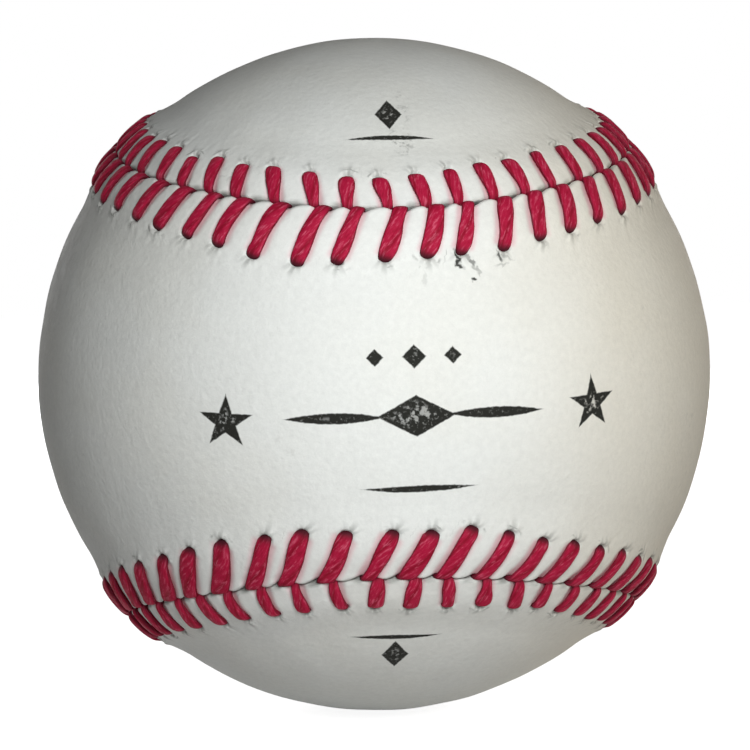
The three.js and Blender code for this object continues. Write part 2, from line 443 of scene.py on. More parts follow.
# ribs from foot to foot across one cover, mirrored about the tip of its lobe
def ribPoints(footDirections, starts, ends, spans):
    a = footDirections[starts][:, None]
    b = footDirections[ends][:, None]
    angle = np.arccos(np.clip(np.sum(a * b, -1, keepdims=True), -1, 1))
    share = (np.arange(1, spans) / spans)[None, :, None]
    return (np.sin((1 - share) * angle) * a + np.sin(share * angle) * b) / np.sin(angle)


# one side of a cover, as a sewn strip round its edge and ribs between; faces run as on the rear cover
def coverSheet(grid, tipStation, perStitch, radiusOf, firstIndex):
    rows, columns = grid.shape[:2]
    index = firstIndex + np.arange(rows * columns).reshape(rows, columns)
    after = np.roll(index, -1, axis=1)
    faces = np.stack([index[:-1], after[:-1], after[1:], index[1:]], -1).reshape(-1, 4).tolist()
    foot = index[-1].tolist()
    spans = cover["ribSpans"]
    step = perStitch // 2
    turns = np.arange(cover["capRibs"], stitchCount - cover["capRibs"])
    starts = np.mod(tipStation * perStitch + perStitch // 4 + step * turns, columns)
    ends = np.mod(tipStation * perStitch - perStitch // 4 - step * turns, columns)
    inner = ribPoints(unit(grid[-1]), starts, ends, spans)
    inner = inner * radiusOf(inner)[..., None]
    innerIndex = np.arange(inner.shape[0] * inner.shape[1]).reshape(inner.shape[:2])
    innerIndex = innerIndex + firstIndex + rows * columns
    ribs = [[foot[s], *line.tolist(), foot[e]] for s, line, e in zip(starts, innerIndex, ends)]

    def footRun(first, last, way):
        count = (last - first) * way % columns
        return [foot[(first + way * k) % columns] for k in range(count + 1)]

    for j in range(len(ribs) - 1):
        here, there = ribs[j], ribs[j + 1]
        faces.append(footRun(starts[j], starts[j + 1], 1) + [there[1], here[1]])
        for m in range(1, spans - 1):
            faces.append([here[m], there[m], there[m + 1], here[m + 1]])
        faces.append([here[-2], there[-2]] + footRun(ends[j + 1], ends[j], 1))
    firstCap = footRun(starts[0], ends[0], -1)
    lastCap = footRun(starts[-1], ends[-1], 1)
    marks = np.round(np.linspace(0, len(firstCap) - 1, spans + 1)).astype(int)
    for m in range(spans):
        low, high = marks[m], marks[m + 1]
        for arc, rib, turnedOver in ((firstCap, ribs[0], False), (lastCap, ribs[-1], True)):
            face = arc[low:high + 1] + [rib[m + 1], rib[m]]
            face = [v for k, v in enumerate(face) if v != face[k - 1]]
            faces.append(face if turnedOver else face[::-1])
    return np.concatenate([grid.reshape(-1, 3), inner.reshape(-1, 3)]), faces, index


def meshPiece(name, points, faces, values):
    mesh = bpy.data.meshes.new(name)
    mesh.from_pydata((points * mm).tolist(), [], faces)
    for label, data in values.items():
        kind, field = ("FLOAT_VECTOR", "vector") if data.size == points.size else ("FLOAT", "value")
        attribute = mesh.attributes.new(label, kind, "POINT")
        attribute.data.foreach_set(field, np.asarray(data, np.float32).ravel())
    mesh.polygons.foreach_set("use_smooth", np.ones(len(mesh.polygons), bool))
    mesh.update()
    piece = bpy.data.objects.new(name, mesh)
    bpy.context.scene.collection.objects.link(piece)
    return piece


def leatherCover(name, tipStation):
    side = stitches[name]["side"]
    perStitch = cover["columnsPerStitch"]
    profile = edgeProfile()
    station = np.arange(stitchCount * perStitch) / perStitch
    stationGrid = np.broadcast_to(station, (len(profile), len(station)))
    distance = profile[:, :1] + seamGap(station)
    shifted = distance + side * seamMeander(station) * fade(*cover["meanderFades"], distance)
    height, stain, needle = sewnRelief(name, stationGrid, distance)
    grid = ballPlace(stationGrid, side * shifted, height - profile[:, 1:])
    grid += unit(grid) * (lumps(grid) * smooth(*cover["lumpsStart"], distance))[..., None]
    grain = coverSheet(grid, tipStation, perStitch, lambda p: leatherRadius + lumps(p * leatherRadius), 0)

    perFlesh = cover["fleshColumnsPerStitch"]
    fleshStation = np.arange(stitchCount * perFlesh) / perFlesh
    fleshDistance = np.array([*cover["fleshRows"], cover["stripReach"]])[:, None]
    fleshGrid = np.broadcast_to(fleshStation, (len(fleshDistance), len(fleshStation)))
    fleshDistance = np.broadcast_to(fleshDistance, fleshGrid.shape)
    fleshHeight = cover["fleshRidge"] * ridge(fleshDistance) - ballLine["leatherThickness"]
    fleshRadius = leatherRadius - ballLine["leatherThickness"]
    flesh = coverSheet(ballPlace(fleshGrid, side * fleshDistance, fleshHeight), tipStation, perFlesh,
                       lambda p: np.full(p.shape[:-1], fleshRadius), len(grain[0]))

    faces = grain[1] + [face[::-1] for face in flesh[1]]
    edge, lining = grain[2][0], flesh[2][0]
    finer = perStitch // perFlesh
    for j in range(len(lining)):
        fine = [int(edge[(finer * j + k) % len(edge)]) for k in range(finer, -1, -1)]
        faces.append(fine + [int(lining[j]), int(lining[(j + 1) % len(lining)])])
    if side > 0:
        faces = [face[::-1] for face in faces]
    points = np.concatenate([grain[0], flesh[0]])

    near = fade(*cover["marksBeside"], np.abs(needle[..., 0]))
    near = near * fade(*cover["marksBeyond"], np.abs(needle[..., 1]))
    # the seam edge is darkened by dirt and painted shade, the painted shade stronger in the gape past each
    # front leg
    tail = pastTip(station)
    soilAndShadeStart, soilAndShadeEnd = cover["soilAndShadeReach"]
    soiledAndShaded = fade(soilAndShadeStart, soilAndShadeEnd + cover["shadePastTip"] * tail, distance)
    soiledAndShaded = soiledAndShaded * cover["soilAndShadeShare"] * (1 + tail)
    spare = len(points) - stain.size  # points away from the strip
    strip = {"stain": stain, "edgeSoilAndShade": soiledAndShaded, "needleNear": near}
    values = {label: np.concatenate([data.ravel(), np.zeros(spare)]) for label, data in strip.items()}
    values["needle"] = np.concatenate([needle.reshape(-1, 3), np.full((spare, 3), farOff)])
    return meshPiece(name + "CoverLeather", points, faces, values)


frontLeather = leatherCover("front", stitchCount // 4)
rearLeather = leatherCover("rear", 0)
print("covers cut:", len(frontLeather.data.vertices) + len(rearLeather.data.vertices), "vertices")


# needle threads

thread = {
    "plies": 3,
    "plyTurn": 12.5,  # length of one turn of the plies
    "plyOffset": 0.075,
    "plyRadius": 0.925,
    "flatness": 2.25,  # 2 is an oval section, more is squarer
    "aroundPoints": 24,
    "underHeight": -1.3,  # between two legs, under the leather
    "underInset": 0.1,
    "underSize": (0.8, 0.6),
    "unevenWidth": 0.075,
    "unevenSwell": 0.1,
    "foot": 0.08,  # front legs spread along the seam where they go under
    "footStart": 0.75,
    # share of the leg from hole to seam, height of the middle over the leather, front width, rear width,
    # thickness, and how little painted shade darkens the thread where it dives into a hole or under the
    # seam
    "leg": [
        (-0.06, -1.0, 1.0, 0.85, 0.6, 0.0),
        (-0.05, -0.55, 1.16, 1.0, 0.6, 0.02),
        (-0.02, -0.16, 1.28, 1.16, 0.6, 0.2),
        (0.05, 0.05, 1.36, 1.32, 0.62, 0.74),
        (0.17, 0.14, 1.43, 1.45, 0.64, 1.0),
        (0.42, 0.17, 1.48, 1.43, 0.64, 1.0),
        (0.66, 0.18, 1.42, 1.26, 0.62, 1.0),
        (0.85, 0.13, 1.3, 1.1, 0.6, 0.95),
        (0.95, -0.06, 1.2, 0.98, 0.6, 0.6),
        (1.0, -0.45, 1.14, 0.94, 0.6, 0.2),
        (1.03, -1.15, 1.1, 0.92, 0.6, 0.0),
    ],
    "ringsPerSpan": [2, 2, 3, 4, 4, 5, 5, 4, 3, 2, 3, 3],
}


# a smooth closed curve through the knots of a thread
def curveThrough(points):
    ringsPerSpan = thread["ringsPerSpan"]
    before, after = np.roll(points, 1, axis=0), np.roll(points, -1, axis=0)
    later = np.roll(points, -2, axis=0)
    rings = []
    for k in range(len(points)):
        count = ringsPerSpan[k % len(ringsPerSpan)]
        share = (np.arange(count) / count)[:, None]
        slopeHere = (after[k] - before[k]) / 2
        slopeThere = (later[k] - points[k]) / 2
        square, cube = share**2, share**3
        rings.append((2 * cube - 3 * square + 1) * points[k] + (cube - 2 * square + share) * slopeHere
                     + (3 * square - 2 * cube) * after[k] + (cube - square) * slopeThere)
    return np.concatenate(rings)


# station, distance, height, width, thickness and the share left free of painted shade along a thread, in
# both covers by turns
def threadKnots(firstRow):
    rowNames = [firstRow, opposite[firstRow]]
    widthFactor = 1 + uneven(thread["unevenWidth"])
    swell = uneven(thread["unevenSwell"])
    knots = []
    for i in range(stitchCount):
        name = rowNames[i % 2]
        row = stitches[name]
        hole, tip, inset = row["hole"][i], row["tip"][i], row["inset"][i]
        footing = thread["foot"] if name == "front" else 0.0
        under = row["side"] * (inset - thread["underInset"])
        knots.append((hole, under, thread["underHeight"], *thread["underSize"], 0.0))
        for share, lift, frontWidth, rearWidth, thickness, unshaded in thread["leg"]:
            distance = inset * (1 - share)
            foot = footing * smooth(thread["footStart"], 1.0, share)
            station = hole + (tip - hole) * share + (legStray(row, i, share) + foot) / pitch
            height = ridge(abs(distance)) + lift
            width = (frontWidth if name == "front" else rearWidth) * row["width"][i] * widthFactor[i]
            width = width * (1 + swell[i] * math.sin(2 * math.pi * share)) + 2 * foot
            knots.append((station, row["side"] * distance, height, width, thickness, unshaded))
    return np.array(knots)


def sewThread(pieceName, firstRow):
    knots = threadKnots(firstRow)
    centres = curveThrough(ballPlace(knots[:, 0], knots[:, 1], knots[:, 2]))
    sizes = curveThrough(knots[:, 3:5])
    unshadedShare = np.clip(curveThrough(knots[:, 5:]), 0, 1)
    angle = knots[:, 0] * 2 * math.pi / stitchCount
    ringAngle = curveThrough(np.stack([np.cos(angle), np.sin(angle)], -1))
    station = np.arctan2(ringAngle[:, 1], ringAngle[:, 0]) / (2 * math.pi) * stitchCount
    run = unit(np.roll(centres, -1, axis=0) - np.roll(centres, 1, axis=0))
    along = seamAxes(station)[1]
    wide = unit(along - run * np.sum(along * run, -1, keepdims=True))
    thick = np.cross(run, wide)
    length = np.concatenate([[0], np.cumsum(np.linalg.norm(np.diff(centres, axis=0), axis=1))])
    total = length[-1] + np.linalg.norm(centres[0] - centres[-1])
    turns = round(total / thread["plyTurn"])

    count = thread["aroundPoints"]
    onPly = 2 * math.pi * np.arange(count) / count
    plyHalf = math.pi / thread["plies"]
    fromPly = np.mod(onPly + plyHalf, 2 * plyHalf) - plyHalf
    offset, radius = thread["plyOffset"], thread["plyRadius"]
    reach = offset * np.cos(fromPly) + np.sqrt(radius**2 - (offset * np.sin(fromPly)) ** 2)
    twist = onPly[None, :] + (length / total * turns * 2 * math.pi)[:, None]
    squared = 2 / thread["flatness"]
    acrossThread = np.sign(np.cos(twist)) * np.abs(np.cos(twist)) ** squared * reach
    throughThread = np.sign(np.sin(twist)) * np.abs(np.sin(twist)) ** squared * reach
    sideways = acrossThread[..., None] * wide[:, None] * sizes[:, None, :1] / 2
    upward = throughThread[..., None] * thick[:, None] * sizes[:, None, 1:] / 2
    points = centres[:, None] + sideways + upward

    rings = len(centres)
    index = np.arange(rings * count).reshape(rings, count)
    there = np.roll(index, -1, axis=0)
    faces = np.stack([index, np.roll(index, -1, axis=1), np.roll(there, -1, axis=1), there], -1)
    crest = (reach - reach.min()) / (reach.max() - reach.min())
    yarn = np.broadcast_arrays(np.cos(onPly)[None, :], np.sin(onPly)[None, :], length[:, None])
    values = {
        "plyCrest": np.broadcast_to(crest, (rings, count)),
        "unshaded": np.broadcast_to(unshadedShare, (rings, count)),
        "flank": np.abs(np.cos(twist)),
        "yarnRun": np.stack(yarn, -1),
    }
    return meshPiece(pieceName, points.reshape(-1, 3), faces.reshape(-1, 4).tolist(), values)


threadOne = sewThread("needleThreadOne", "front")
threadTwo = sewThread("needleThreadTwo", "rear")
print("threads sewn:", len(threadOne.data.vertices) + len(threadTwo.data.vertices), "vertices")


# nodes: the helpers find the tree from the sockets that they are given

def join(value, socket):
    if isinstance(value, bpy.types.NodeSocket):
        socket.id_data.links.new(value, socket)
    else:
        socket.default_value = value


def addNode(kind, inputs, tree=None, **settings):
    if tree is None:
        tree = next(value.id_data for value in inputs.values() if isinstance(value, bpy.types.NodeSocket))
    node = tree.nodes.new("ShaderNode" + kind)
    for name, value in settings.items():
        setattr(node, name, value)
    for label, value in inputs.items():
        join(value, node.inputs[label])
    return node.outputs


def calc(operation, *values):
    return addNode("Math", dict(enumerate(values)), operation=operation)[0]


def vectorCalc(operation, *values):
    return addNode("VectorMath", dict(enumerate(values)), operation=operation)


plus = partial(calc, "ADD")
less = partial(calc, "SUBTRACT")
times = partial(calc, "MULTIPLY")
timesPlus = partial(calc, "MULTIPLY_ADD")
ratio = partial(calc, "DIVIDE")
magnitude = partial(calc, "ABSOLUTE")


def span(x, y):
    return calc("SQRT", timesPlus(x, x, times(y, y)))


def dot(vector, axis):
    return vectorCalc("DOT_PRODUCT", vector, axis)["Value"]


def largest(values):
    total = values[0]
    for value in values[1:]:
        total = calc("MAXIMUM", total, value)
    return total


def remap(value, fromLow, fromHigh, toLow=0.0, toHigh=1.0):
    given = dict(enumerate((value, fromLow, fromHigh, toLow, toHigh)))
    return addNode("MapRange", given, interpolation_type="SMOOTHSTEP")[0]


def blendColor(share, first, second, mode="MIX"):
    return addNode("Mix", {0: share, 6: first, 7: second}, data_type="RGBA", blend_type=mode)[2]


def noise(vector, scale, detail=2.0, roughness=0.5, output="Fac"):
    given = {"Vector": vector, "Scale": scale, "Detail": detail, "Roughness": roughness}
    return addNode("TexNoise", given)[output]


def cells(vector, scale, feature="F1"):
    return addNode("TexVoronoi", {"Vector": vector, "Scale": scale}, feature=feature)


def bump(height, strength, distance):
    return addNode("Bump", {"Height": height, "Strength": strength, "Distance": distance})["Normal"]


def objectPlace(tree):
    return addNode("TexCoord", {}, tree)["Object"]


def meshValue(tree, name, output="Fac"):
    return addNode("Attribute", {}, tree, attribute_name=name)[output]


def useGroup(tree, group, **values):
    return addNode("Group", values, tree, node_tree=group)


def nodeGroup(name, inputs, outputs):
    tree = bpy.data.node_groups.new(name, "ShaderNodeTree")
    for label, value in inputs.items():
        socket = tree.interface.new_socket(name=label, in_out="INPUT", socket_type="NodeSocketFloat")
        socket.default_value = value
    for label in outputs:
        tree.interface.new_socket(name=label, in_out="OUTPUT", socket_type="NodeSocketFloat")
    return tree, tree.nodes.new("NodeGroupInput").outputs, tree.nodes.new("NodeGroupOutput").inputs


def newMaterial(name):
    material = bpy.data.materials.new(name)
    material.use_nodes = True
    return material, material.node_tree, material.node_tree.nodes["Principled BSDF"].inputs


def setSurface(shader, color, roughness, normal):
    join(color, shader["Base Color"])
    join(roughness, shader["Roughness"])
    join(normal, shader["Normal"])


# effects that several materials share

def mottleGroup():
    tree, given, made = nodeGroup("mottle", {"Scale": 300.0, "Depth": 0.1}, ["Value", "Height"])
    place = objectPlace(tree)
    coarse = noise(place, given["Scale"], 3.0, 0.6)
    fine = noise(place, times(given["Scale"], 5.0))
    mixed = timesPlus(coarse, 0.65, times(fine, 0.35))
    join(timesPlus(less(mixed, 0.5), given["Depth"], 1.0), made["Value"])
    join(mixed, made["Height"])
    return tree


# strands in two directions, which take turns in patches
def woundYarnGroup():
    tree, given, made = nodeGroup("woundYarn", {"Strands": 500.0}, ["Shade", "Height"])
    place = objectPlace(tree)
    bands = []
    for axis in ((0.25, 0.35, 0.9), (0.85, -0.45, 0.28)):
        across = addNode("CombineXYZ", {0: dot(place, axis)})[0]
        wave = {"Vector": across, "Scale": given["Strands"], "Distortion": 1.2, "Detail Scale": 1.6}
        bands.append(addNode("TexWave", wave, wave_profile="SIN")["Fac"])
    patch = remap(noise(place, 60.0, 1.0), 0.47, 0.53)
    height = timesPlus(bands[1], patch, times(bands[0], less(1.0, patch)))
    fluff = noise(place, 2600.0, 3.0)
    join(timesPlus(fluff, 0.3, height), made["Height"])
    join(remap(height, 0.0, 0.7, 0.55, 1.0), made["Shade"])
    return tree


mottle = mottleGroup()
woundYarn = woundYarnGroup()


# black print on the leather: stars, rules and lozenges

printMarks = {
    "ink": (0.018, 0.018, 0.015, 1),
    "edgeSoftness": 0.07,
    "raggedness": 0.16,
    "raggedScale": 2600.0,
    "wear": 0.45,
    "flecks": [(2300.0, 0.65), (800.0, 0.35)],  # where the ink has come off: scale and share
    "fleckRange": (0.52, 0.63),
    "fleckInset": (-0.75, -0.2),  # flecks stay clear of a mark's edge
    "rubScale": 3300.0,
    "rubRange": (0.58, 0.72),
    "rubbed": 0.8,  # ink left where it is rubbed thin
    # longitude and latitude in degrees, half width and height in mm, tilt in degrees, wear
    "stars": [(-24.5, -3.75, 2.86, 2.55, -2.5, 0.65), (31.2, -2.35, 2.78, 2.66, 4.0, 0.8)],
    "starWaist": 0.39,
    # longitude, latitude, half length, half height, tilt
    "lozenges": [
        (3.4, -3.1, 3.6, 1.9, 0.6),
        (3.2, 5.3, 1.1, 1.1, 0.6),
        (-2.4, 5.2, 0.8, 0.8, 0.6),
        (8.8, 5.4, 0.8, 0.8, 0.6),
        (1.5, 45.5, 1.3, 2.2, 0.0),
        (0.8, -45.0, 1.3, 2.2, 0.0),
    ],
    # tapered rules, likewise
    "rules": [
        (-8.3, -3.3, 4.6, 0.5, 0.6),
        (15.1, -2.9, 4.6, 0.5, 0.6),
        (3.9, -13.7, 5.2, 0.32, 0.6),
        (1.5, 40.3, 4.2, 0.3, 0.0),
        (0.8, -40.6, 4.2, 0.3, 0.0),
    ],
}


def directionOf(longitude, latitude):
    lon, lat = math.radians(longitude), math.radians(latitude)
    return Vector((math.sin(lon) * math.cos(lat), -math.cos(lon) * math.cos(lat), math.sin(lat)))


# millimetres to the right and up along a mark, and whether a place is on its side of the ball
def markPlaces(place, longitude, latitude, tilt, strayed=None):
    lon, turn = math.radians(longitude), math.radians(tilt)
    out = directionOf(longitude, latitude)
    east = Vector((math.cos(lon), math.sin(lon), 0))
    north = out.cross(east)
    right = east * math.cos(turn) + north * math.sin(turn)
    up = north * math.cos(turn) - east * math.sin(turn)
    facing = calc("GREATER_THAN", dot(place, out), 0.0)
    measured = place if strayed is None else strayed
    return dot(measured, right / mm), dot(measured, up / mm), facing


def starEdge(x, y, halfWidth, halfHeight):
    radius = math.sqrt(halfWidth * halfHeight)
    x, y = times(x, radius / halfWidth), times(y, radius / halfHeight)
    halfPoint = math.pi / 5  # the star is folded into half of one of its points
    folded = calc("PINGPONG", calc("ARCTAN2", x, y), halfPoint)
    reach = span(x, y)
    waist = printMarks["starWaist"] * radius
    side = Vector((waist * math.sin(halfPoint), radius - waist * math.cos(halfPoint))).normalized()
    alongTip = less(times(reach, calc("COSINE", folded)), radius)
    besideTip = times(reach, calc("SINE", folded))
    return timesPlus(alongTip, side.x, times(besideTip, side.y))


def lozengeEdge(x, y, halfLength, halfHeight):
    side = math.hypot(halfLength, halfHeight)
    slanted = timesPlus(magnitude(x), halfHeight / side, times(magnitude(y), halfLength / side))
    return less(slanted, halfLength * halfHeight / side)


def ruleEdge(x, y, halfLength, halfHeight):
    x = ratio(x, halfLength)
    return plus(magnitude(y), timesPlus(times(x, x), halfHeight, -halfHeight))


def inkMask(place):
    raggedness, soft = printMarks["raggedness"], printMarks["edgeSoftness"]
    ragged = timesPlus(noise(place, printMarks["raggedScale"], 3.0), raggedness, -raggedness / 2)
    flecks = 0.0
    for scale, share in printMarks["flecks"]:
        flecks = timesPlus(noise(place, scale), share, flecks)
    flecks = remap(flecks, *printMarks["fleckRange"])
    masks = []
    for kind, edge in (("stars", starEdge), ("lozenges", lozengeEdge), ("rules", ruleEdge)):
        for longitude, latitude, halfLength, halfHeight, tilt, *wear in printMarks[kind]:
            x, y, facing = markPlaces(place, longitude, latitude, tilt)
            beyondEdge = edge(x, y, halfLength, halfHeight)
            wear = wear[0] if wear else printMarks["wear"]
            inside = remap(plus(beyondEdge, ragged), -soft, soft, 1.0, 0.0)
            worn = times(flecks, remap(beyondEdge, *printMarks["fleckInset"], wear, 0.0))
            masks.append(times(less(inside, worn), facing))
    thin = noise(place, printMarks["rubScale"], 3.0, 0.6)
    return times(largest(masks), remap(thin, *printMarks["rubRange"], 1.0, printMarks["rubbed"]))


# leather

leatherLook = {
    "white": (0.80, 0.802, 0.772, 1),
    "creamy": (0.785, 0.78, 0.738, 1),
    "patchScale": 55.0,
    "paintedWarmLight": (1.0, 0.955, 0.885, 1),  # painted warm light on the right side
    "paintedWarmLightReach": (0.15, 0.65),  # share of the radius towards the right
    "paintedWarmLightScale": 45.0,
    "paintedWarmLightRagged": 0.24,
    # dark colour for dirt and painted shade along the seam edge, and for the painted shade in the needle
    # holes
    "soilAndShade": (0.095, 0.098, 0.083, 1),
    "soilAndShadePatchScale": 350.0,
    "spots": (0.42, 0.40, 0.37, 1),
    "spotScale": 330.0,
    "stain": (0.76, 0.40, 0.44, 1),
    "stainStrength": 0.75,
    "speck": (0.022, 0.022, 0.019, 1),
    "roughness": (0.68, 0.84),
    "specular": 0.12,
    "mottleScale": 1800.0,
    "mottleDepth": 0.27,
    "grainScale": 900.0,
    "poreScale": 1900.0,
    "grainBump": 0.5,
    "grainHeight": 0.00012,  # in metres
    "scuffScale": 1500.0,
    "scuffStray": 0.0011,
    # longitude, latitude, half length, half height in mm, tilt, strength, even or speckled
    "scuffs": [
        (12.74, 16.1, 0.26, 0.2, -20.0, 0.95, True),
        (10.38, 19.5, 0.72, 0.17, -64.0, 0.95, True),
        (10.45, 18.7, 0.46, 0.17, 61.0, 0.95, True),
        (10.65, 18.15, 0.5, 0.19, -32.0, 0.95, True),
        (12.1, 19.2, 0.6, 0.15, -34.0, 0.5, True),
        (12.7, 18.5, 0.5, 0.2, -60.0, 0.65, True),
        (13.15, 17.6, 0.65, 0.16, -57.0, 0.4, True),
        (11.6, 18.1, 0.6, 0.35, 0.0, 0.3, False),
        (16.9, 19.5, 0.55, 0.17, -56.0, 0.85, True),
        (18.2, 19.3, 0.7, 0.14, -25.0, 0.3, True),
        (17.4, 18.3, 0.7, 0.14, 14.0, 0.3, True),
        (4.8, 17.9, 0.7, 0.18, 5.0, 0.3, False),
        (5.3, 16.4, 0.2, 0.7, 10.0, 0.15, True),
        (4.0, 39.7, 1.2, 1.9, 10.0, 0.45, False),
        (5.2, 47.0, 0.6, 2.8, 4.0, 0.25, False),
        (-26.5, 33.5, 2.6, 1.0, 10.0, 0.2, False),
    ],
}

needleLook = {
    "wander": 0.6,  # of the marks to either side, and a part of it outwards
    "wanderOut": 0.6,
    "wanderScale": 1300.0,
    "pitMiddle": 0.22,  # past the end of the leg
    "pitHalfSize": (0.5, 0.34),
    "pitEdge": (0.4, 1.3),
    "pitDarkness": (0.4, 0.9),
    "rimPlace": (1.7, 0.8),  # in pit sizes: the least, and what luck adds
    "rimWidth": (0.05, 0.45),
    "rimDarkness": (0.1, 0.5),
    "rimBreaks": 800.0,
    "creases": [(0.0, 0.5, 2.0), (0.55, 0.3, 1.5), (-0.6, 0.28, 1.6)],  # slant, darkness and reach
    "creaseWidth": (0.04, 0.34),
    "creaseLean": 0.6,
    "creaseStart": (0.3, 0.6),
}


# painted shade in the open needle holes past the legs' ends, on their broken far rims and along the fine
# creases beyond
def needleMarks(tree, place):
    look = needleLook
    beside, beyond, luck = addNode("SeparateXYZ", {0: meshValue(tree, "needle", "Vector")})
    wander = timesPlus(noise(place, look["wanderScale"]), look["wander"], -look["wander"] / 2)
    beside = plus(beside, wander)
    past = timesPlus(wander, look["wanderOut"], beyond)
    halfAcross, halfAlong = look["pitHalfSize"]
    away = span(ratio(beside, halfAcross), ratio(less(past, look["pitMiddle"]), halfAlong))
    pit = remap(away, *look["pitEdge"], 1.0, 0.0)
    pit = times(pit, remap(luck, 0.1, 0.9, *look["pitDarkness"]))
    leastPlace, luckPlace = look["rimPlace"]
    fromRim = magnitude(less(away, timesPlus(luck, luckPlace, leastPlace)))
    rim = times(remap(fromRim, *look["rimWidth"], 1.0, 0.0), remap(past, 0.3, 0.7))
    broken = remap(noise(place, look["rimBreaks"], 3.0), 0.45, 0.62)
    rim = times(times(rim, broken), remap(luck, 0.25, 0.8, *look["rimDarkness"]))
    marks = [pit, rim]
    for slant, darkness, reach in look["creases"]:
        lean = timesPlus(luck, look["creaseLean"], slant - look["creaseLean"] / 2)
        fromLine = magnitude(less(beside, times(lean, beyond)))
        line = remap(fromLine, *look["creaseWidth"], darkness, 0.0)
        fading = times(remap(beyond, *look["creaseStart"]), remap(beyond, 0.5, reach, 1.0, 0.0))
        marks.append(times(line, fading))
    return times(largest(marks), meshValue(tree, "needleNear"))


# dark specks and rubbed grey patches from handling
def scuffMask(place):
    scale, stray = leatherLook["scuffScale"], leatherLook["scuffStray"]
    ragged = noise(place, scale, output="Color")  # 0.5 on average
    strayed = vectorCalc("MULTIPLY_ADD", ragged, (stray, stray, stray), place)[0]
    strayed = vectorCalc("SUBTRACT", strayed, (stray / 2, stray / 2, stray / 2))[0]
    speckle = remap(noise(place, scale, 3.0, 0.6), 0.5, 0.66)
    masks = []
    for longitude, latitude, halfLength, halfHeight, tilt, strength, even in leatherLook["scuffs"]:
        x, y, facing = markPlaces(place, longitude, latitude, tilt, strayed)
        away = span(ratio(x, halfLength), ratio(y, halfHeight))
        mask = times(remap(away, 0.4, 1.35, strength, 0.0), facing)
        masks.append(mask if even else times(mask, speckle))
    return largest(masks)


# how far a place is on the right side, where warm light is painted into the colour
def paintedWarmLightShare(place):
    ragged = leatherLook["paintedWarmLightRagged"]
    low, high = leatherLook["paintedWarmLightReach"]
    towardsRight = dot(place, (1 / (leatherRadius * mm), 0, 0))
    towardsRight = timesPlus(noise(place, leatherLook["paintedWarmLightScale"]), ragged, towardsRight)
    return remap(towardsRight, low + ragged / 2, high + ragged / 2)


def whiteLeather():
    look = leatherLook
    material, tree, shader = newMaterial("whiteLeather")
    place = objectPlace(tree)
    patches = remap(noise(place, look["patchScale"], 3.0, 0.55), 0.38, 0.66)
    base = blendColor(patches, look["white"], look["creamy"])
    # painted warm light: the right side is tinted yellow
    base = blendColor(paintedWarmLightShare(place), base, look["paintedWarmLight"], "MULTIPLY")
    spots = remap(noise(place, look["spotScale"], 4.0, 0.65), 0.66, 0.8, 0.0, 0.3)
    base = blendColor(spots, base, look["spots"])
    fleck = useGroup(tree, mottle, Scale=look["mottleScale"], Depth=look["mottleDepth"])
    base = blendColor(1.0, base, fleck["Value"], "MULTIPLY")
    base = blendColor(times(meshValue(tree, "stain"), look["stainStrength"]), base, look["stain"])
    # dirt and painted shade along the seam edges, the painted shade stronger in the gape past each front
    # leg
    soilAndShadePatches = remap(noise(place, look["soilAndShadePatchScale"], 3.0), 0.35, 0.65, 0.25, 0.85)
    base = blendColor(times(meshValue(tree, "edgeSoilAndShade"), soilAndShadePatches), base, look["soilAndShade"])
    # painted shade in the needle holes, on their far rims and along the fine creases; the same mask also
    # dents the bump
    marks = needleMarks(tree, place)
    base = blendColor(marks, base, look["soilAndShade"])
    base = blendColor(scuffMask(place), base, look["speck"])
    base = blendColor(inkMask(place), base, printMarks["ink"])
    grain = useGroup(tree, mottle, Scale=look["grainScale"])["Height"]
    pores = cells(place, look["poreScale"], "SMOOTH_F1")["Distance"]
    height = timesPlus(marks, -0.8, timesPlus(pores, 0.5, grain))
    normal = bump(height, look["grainBump"], look["grainHeight"])
    setSurface(shader, base, remap(grain, 0.35, 0.65, *look["roughness"]), normal)
    shader["Specular IOR Level"].default_value = look["specular"]
    return material


# thread

threadLook = {
    "crest": (0.405, 0.008, 0.043, 1),
    # painted shade for the grooves between the plies, also used for the dark streaks
    "groove": (0.26, 0.003, 0.02, 1),
    # pale fibre streaks, partly a painted highlight
    "lintAndHighlight": (0.7, 0.13, 0.21, 1),
    # dark colour for the painted shade on the thread's sides and at its ends
    "soilAndShade": (0.045, 0.007, 0.012, 1),
    "streakScale": (3.2, 3.2, 1.1),  # round the thread twice, and along it
    "wearScale": 700.0,
    "roughness": (0.55, 0.8),
    "specular": 0.12,
    "fibreBump": 0.5,
    "fibreHeight": 0.00012,
}


def redThread():
    look = threadLook
    material, tree, shader = newMaterial("waxedRedThread")
    stretched = vectorCalc("MULTIPLY", meshValue(tree, "yarnRun", "Vector"), look["streakScale"])[0]
    streaks = noise(stretched, 1.0, 4.0, 0.65)
    # painted shade in the grooves between the plies
    base = blendColor(remap(meshValue(tree, "plyCrest"), 0.0, 0.7), look["groove"], look["crest"])
    base = blendColor(remap(streaks, 0.3, 0.48, 0.7, 0.0), base, look["groove"])
    # pale fibre streaks, partly a painted highlight
    base = blendColor(remap(streaks, 0.5, 0.7, 0.0, 0.6), base, look["lintAndHighlight"])
    # painted shade on the thread's sides
    base = blendColor(remap(meshValue(tree, "flank"), 0.8, 1.0, 0.0, 0.55), base, look["soilAndShade"])
    # painted shade where the thread dives into the holes and under the seam
    base = blendColor(remap(meshValue(tree, "unshaded"), 0.0, 1.0), look["soilAndShade"], base)
    worn = useGroup(tree, mottle, Scale=look["wearScale"])["Height"]
    normal = bump(streaks, look["fibreBump"], look["fibreHeight"])
    setSurface(shader, base, remap(worn, 0.3, 0.7, *look["roughness"]), normal)
    shader["Specular IOR Level"].default_value = look["specular"]
    return material


# inner layers

